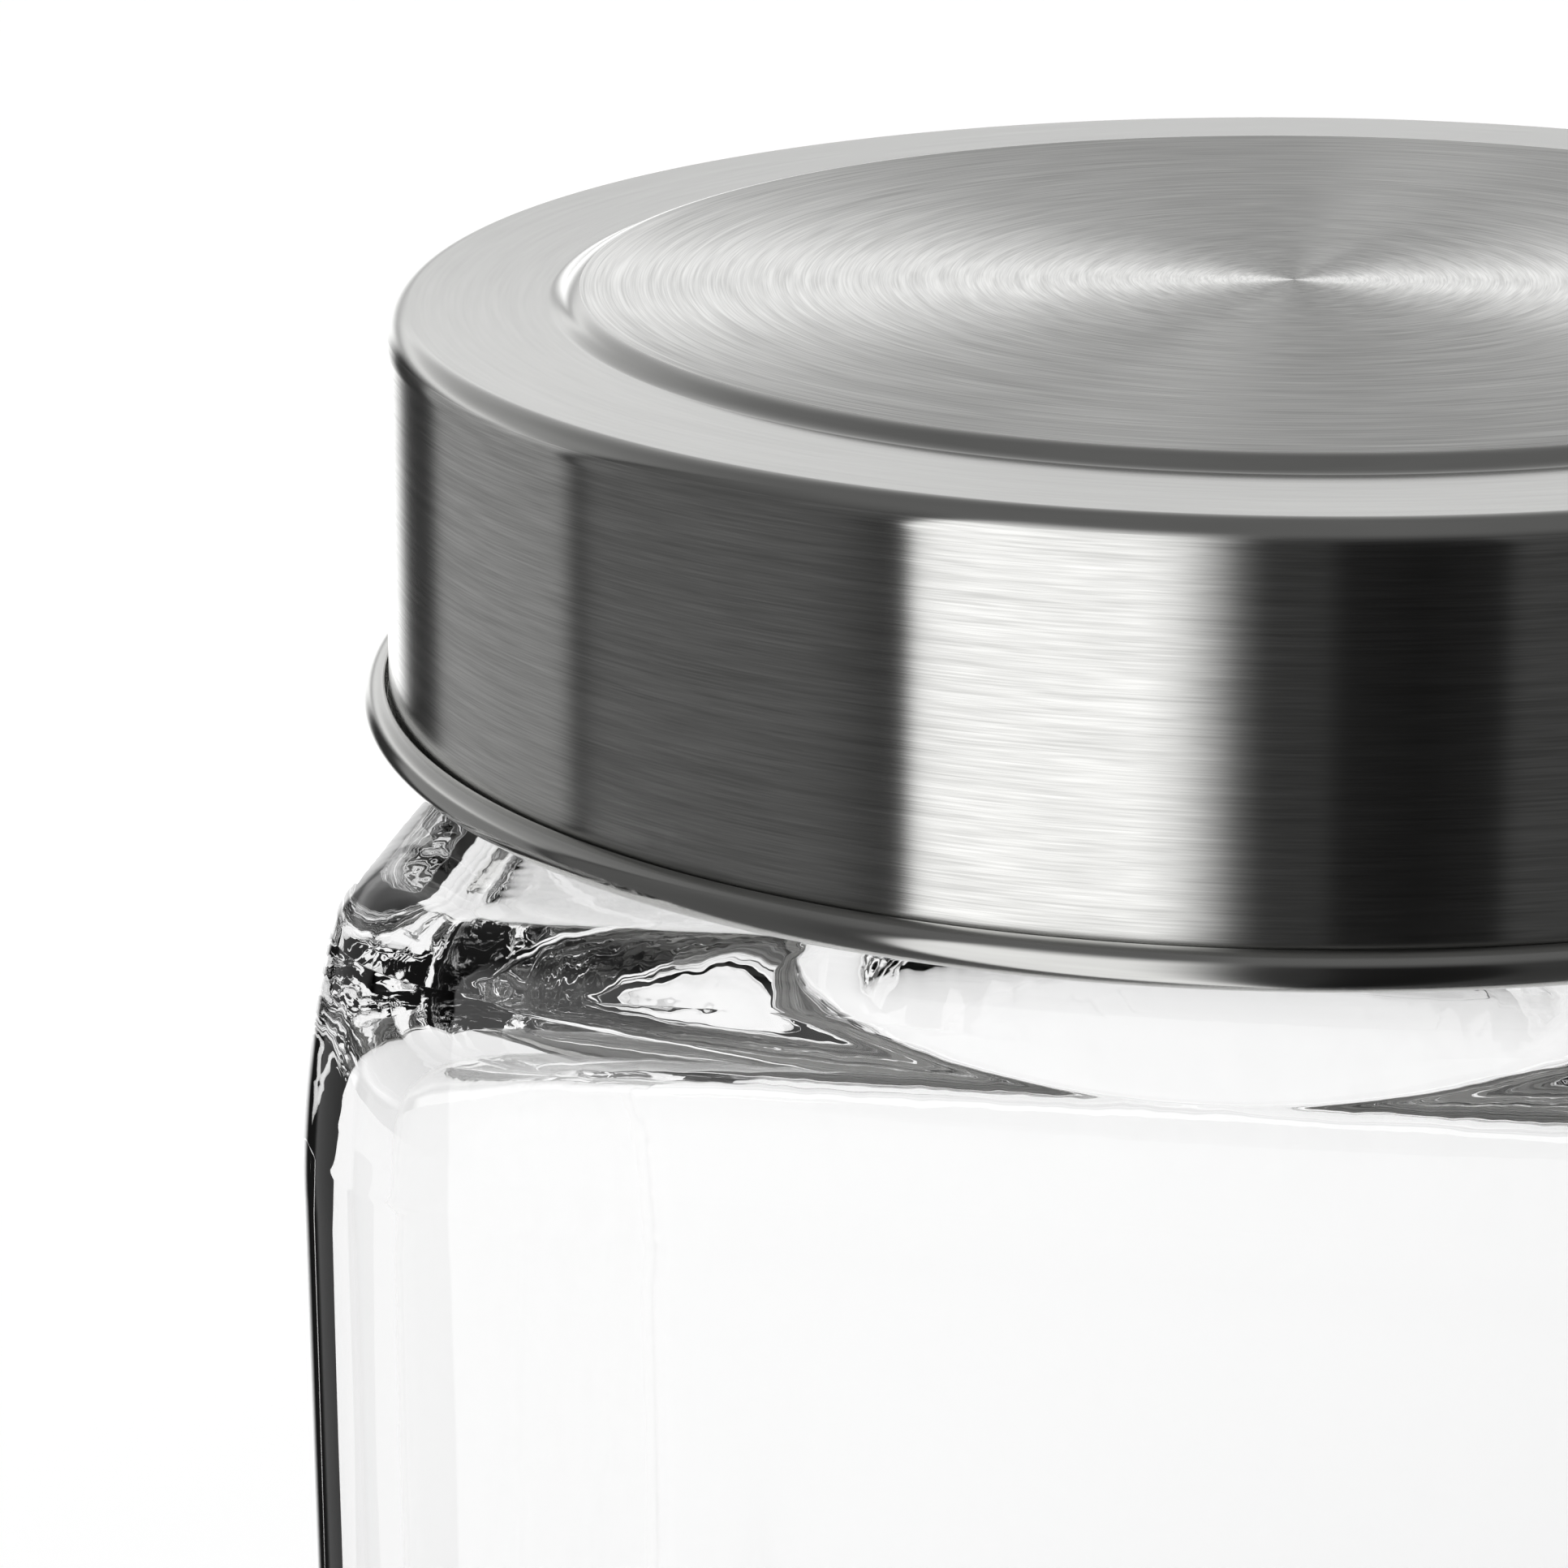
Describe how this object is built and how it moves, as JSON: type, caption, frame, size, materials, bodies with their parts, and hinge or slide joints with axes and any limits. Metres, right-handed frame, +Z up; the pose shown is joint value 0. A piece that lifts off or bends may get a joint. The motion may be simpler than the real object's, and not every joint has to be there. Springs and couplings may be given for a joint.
{
  "type": "storage jar",
  "caption": "Squared clear glass storage jar with a round neck, closed by a wide, flat-topped screw lid of brushed steel over a plastic insert.",
  "frame": {"origin": "middle of the base, on the surface the jar stands on", "axes": "+Z up along the axis of neck and lid; -Y the outward normal of the front flat face; +X the outward normal of the right flat face"},
  "size_m": [0.103, 0.103, 0.1502],
  "materials": {
    "clear_glass": "clear, polished",
    "seal_silicone": "matte",
    "insert_plastic": "satin",
    "lid_steel": "brushed round the wall, spun on top"
  },
  "bodies": {
    "root": {"jar_glass": "clear_glass", "lid_seal": "seal_silicone", "lid_insert": "insert_plastic", "lid_shell": "lid_steel"}
  },
  "joints": []
}
